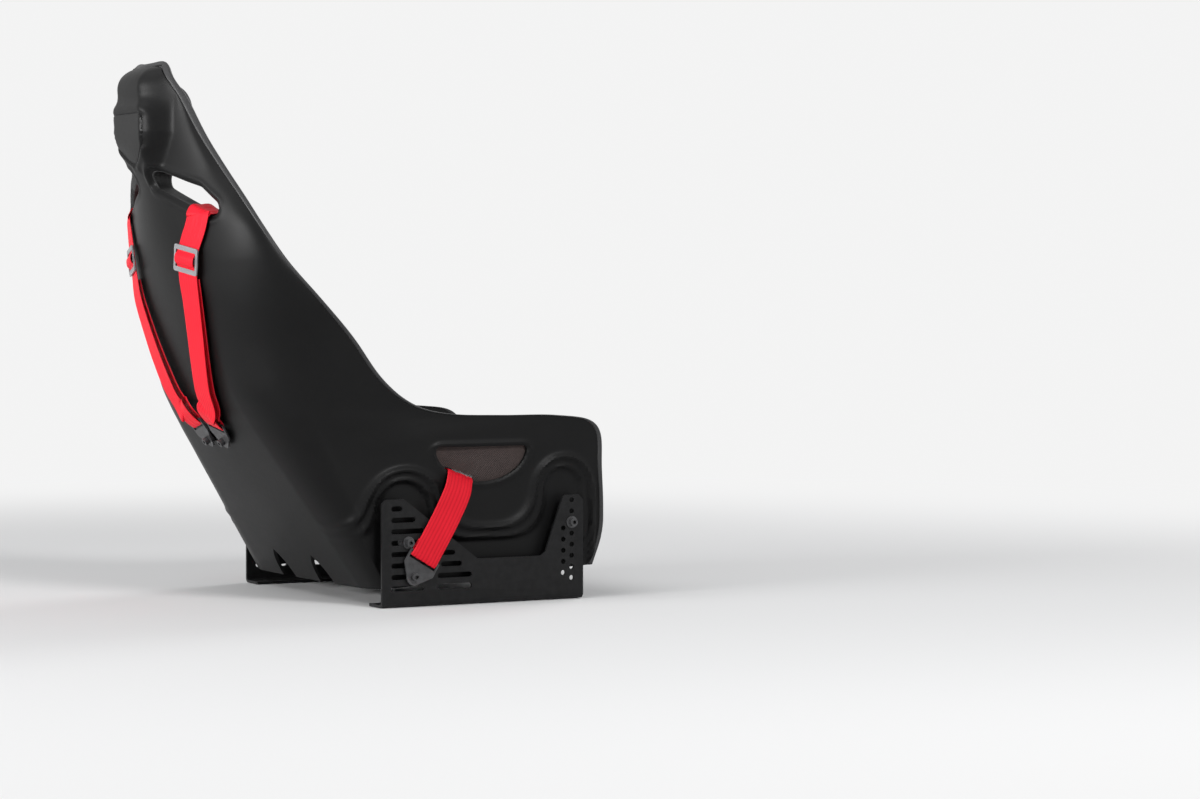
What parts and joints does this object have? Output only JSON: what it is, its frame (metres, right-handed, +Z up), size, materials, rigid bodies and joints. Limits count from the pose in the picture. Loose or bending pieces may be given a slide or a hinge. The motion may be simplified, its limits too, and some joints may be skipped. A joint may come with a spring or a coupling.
{
  "type": "racing seat",
  "caption": "Racing bucket seat with head, shoulder and thigh supports, side mounting brackets and a red harness with a turn-to-release buckle.",
  "frame": {"origin": "midway between the four foot holes, on the surface that the brackets are bolted to", "axes": "+Z up, driver faces -Y, driver's left towards +X"},
  "size_m": [0.578, 0.7703, 0.8897],
  "materials": {
    "shell": "satin moulded black with a fine grain",
    "trim": "soft matt black",
    "shield": "semi-gloss black, blank",
    "collar": "matt black",
    "cushion": "black woven cloth",
    "bolster": "dark grey woven cloth",
    "mesh": "dark brown-grey open mesh",
    "webbing": "bright red woven webbing",
    "bracket": "satin black powder coat",
    "black_steel": "black oxide",
    "bright_steel": "silver grey",
    "brass": "plain brass",
    "buckle": "satin black",
    "knob": "red"
  },
  "bodies": {
    "seat": {"rear_shell": "shell", "front_shell": "shell", "rim_trim": "trim", "head_shield": "shield", "crotch_slot_collar": "collar", "seat_cushion": "cushion", "lumbar_cushion": "cushion", "back_cushion": "cushion", "head_cushion": "cushion", "bracket_screws": "black_steel", "bracket_washers": "black_steel", "bracket_spacers": "black_steel", "shell_inserts": "brass", "shoulder_anchor_screws": "black_steel", "shoulder_anchor_plate": "bright_steel", "lap_anchor_screws": "black_steel", "lap_anchor_bushes": "bright_steel", "buckle_base": "bright_steel", "buckle_housing": "buckle", "knob_spring": "bright_steel", "left_shoulder_slot_tunnel": "collar", "right_shoulder_slot_tunnel": "collar", "left_hip_mesh": "mesh", "right_hip_mesh": "mesh", "left_thigh_bolster": "bolster", "right_thigh_bolster": "bolster", "left_rib_bolster": "bolster", "right_rib_bolster": "bolster", "left_shoulder_bolster": "bolster", "right_shoulder_bolster": "bolster", "left_bracket": "bracket", "right_bracket": "bracket", "left_lap_strap": "webbing", "right_lap_strap": "webbing", "left_lap_tongue": "bright_steel", "right_lap_tongue": "bright_steel", "left_shoulder_strap": "webbing", "right_shoulder_strap": "webbing", "left_shoulder_tongue": "bright_steel", "right_shoulder_tongue": "bright_steel"},
    "knob": {"release_knob": "knob", "latch_cam": "bright_steel"},
    "left_lap_pawl": {"left_lap_pawl": "bright_steel"},
    "right_lap_pawl": {"right_lap_pawl": "bright_steel"},
    "left_shoulder_pawl": {"left_shoulder_pawl": "bright_steel"},
    "right_shoulder_pawl": {"right_shoulder_pawl": "bright_steel"},
    "left_lap_anchor": {"left_lap_anchor": "black_steel"},
    "right_lap_anchor": {"right_lap_anchor": "black_steel"},
    "left_shoulder_anchor": {"left_shoulder_anchor": "black_steel"},
    "right_shoulder_anchor": {"right_shoulder_anchor": "black_steel"},
    "left_rear_adjuster": {"left_rear_adjuster": "bright_steel"},
    "right_rear_adjuster": {"right_rear_adjuster": "bright_steel"},
    "left_front_adjuster": {"left_front_adjuster": "black_steel"},
    "right_front_adjuster": {"right_front_adjuster": "black_steel"}
  },
  "joints": [
    {"name": "knob_turn", "type": "hinge", "parent": "seat", "child": "knob", "pos_m": [0, 0.022, 0.17749], "axis": [0, 0, 1], "range_deg": [0, 40], "stiffness_Nm_per_rad": 0.6},
    {"name": "left_lap_pawl_lift", "type": "slide", "parent": "seat", "child": "left_lap_pawl", "axis": [0, 0, 1], "range_m": [0, 0.003]},
    {"name": "right_lap_pawl_lift", "type": "slide", "parent": "seat", "child": "right_lap_pawl", "axis": [0, 0, 1], "range_m": [0, 0.003]},
    {"name": "left_shoulder_pawl_lift", "type": "slide", "parent": "seat", "child": "left_shoulder_pawl", "axis": [0, 0, 1], "range_m": [0, 0.003]},
    {"name": "right_shoulder_pawl_lift", "type": "slide", "parent": "seat", "child": "right_shoulder_pawl", "axis": [0, 0, 1], "range_m": [0, 0.003]},
    {"name": "left_lap_anchor_swing", "type": "hinge", "parent": "seat", "child": "left_lap_anchor", "pos_m": [0.2795, 0.131, 0.0491], "axis": [1, 0, 0], "range_deg": [-3, 35], "deforming": ["left_lap_strap"]},
    {"name": "right_lap_anchor_swing", "type": "hinge", "parent": "seat", "child": "right_lap_anchor", "pos_m": [-0.2795, 0.131, 0.0491], "axis": [1, 0, 0], "range_deg": [-3, 35], "deforming": ["right_lap_strap"]},
    {"name": "left_shoulder_anchor_swing", "type": "hinge", "parent": "seat", "child": "left_shoulder_anchor", "pos_m": [0.032, 0.354, 0.27001], "axis": [0, 0.8339, -0.5519], "range_deg": [-14, 20], "deforming": ["left_shoulder_strap"]},
    {"name": "right_shoulder_anchor_swing", "type": "hinge", "parent": "seat", "child": "right_shoulder_anchor", "pos_m": [-0.032, 0.354, 0.27001], "axis": [0, -0.8339, 0.5519], "range_deg": [-14, 20], "deforming": ["right_shoulder_strap"]},
    {"name": "left_rear_adjuster_slide", "type": "slide", "parent": "seat", "child": "left_rear_adjuster", "axis": [-0.196, -0.0373, -0.9799], "range_m": [-0.012, 0.012]},
    {"name": "left_front_adjuster_slide", "type": "slide", "parent": "seat", "child": "left_front_adjuster", "axis": [0.1608, 0.5472, 0.8214], "range_m": [-0.012, 0.012]},
    {"name": "right_rear_adjuster_slide", "type": "slide", "parent": "seat", "child": "right_rear_adjuster", "axis": [0.196, -0.0373, -0.9799], "range_m": [-0.012, 0.012]},
    {"name": "right_front_adjuster_slide", "type": "slide", "parent": "seat", "child": "right_front_adjuster", "axis": [-0.1608, 0.5472, 0.8214], "range_m": [-0.012, 0.012]}
  ],
  "couplings": [
    {"joint": "left_lap_pawl_lift", "follows": "knob_turn", "m_per_rad": 0.00429},
    {"joint": "right_lap_pawl_lift", "follows": "knob_turn", "m_per_rad": 0.00429},
    {"joint": "left_shoulder_pawl_lift", "follows": "knob_turn", "m_per_rad": 0.00429},
    {"joint": "right_shoulder_pawl_lift", "follows": "knob_turn", "m_per_rad": 0.00429}
  ]
}
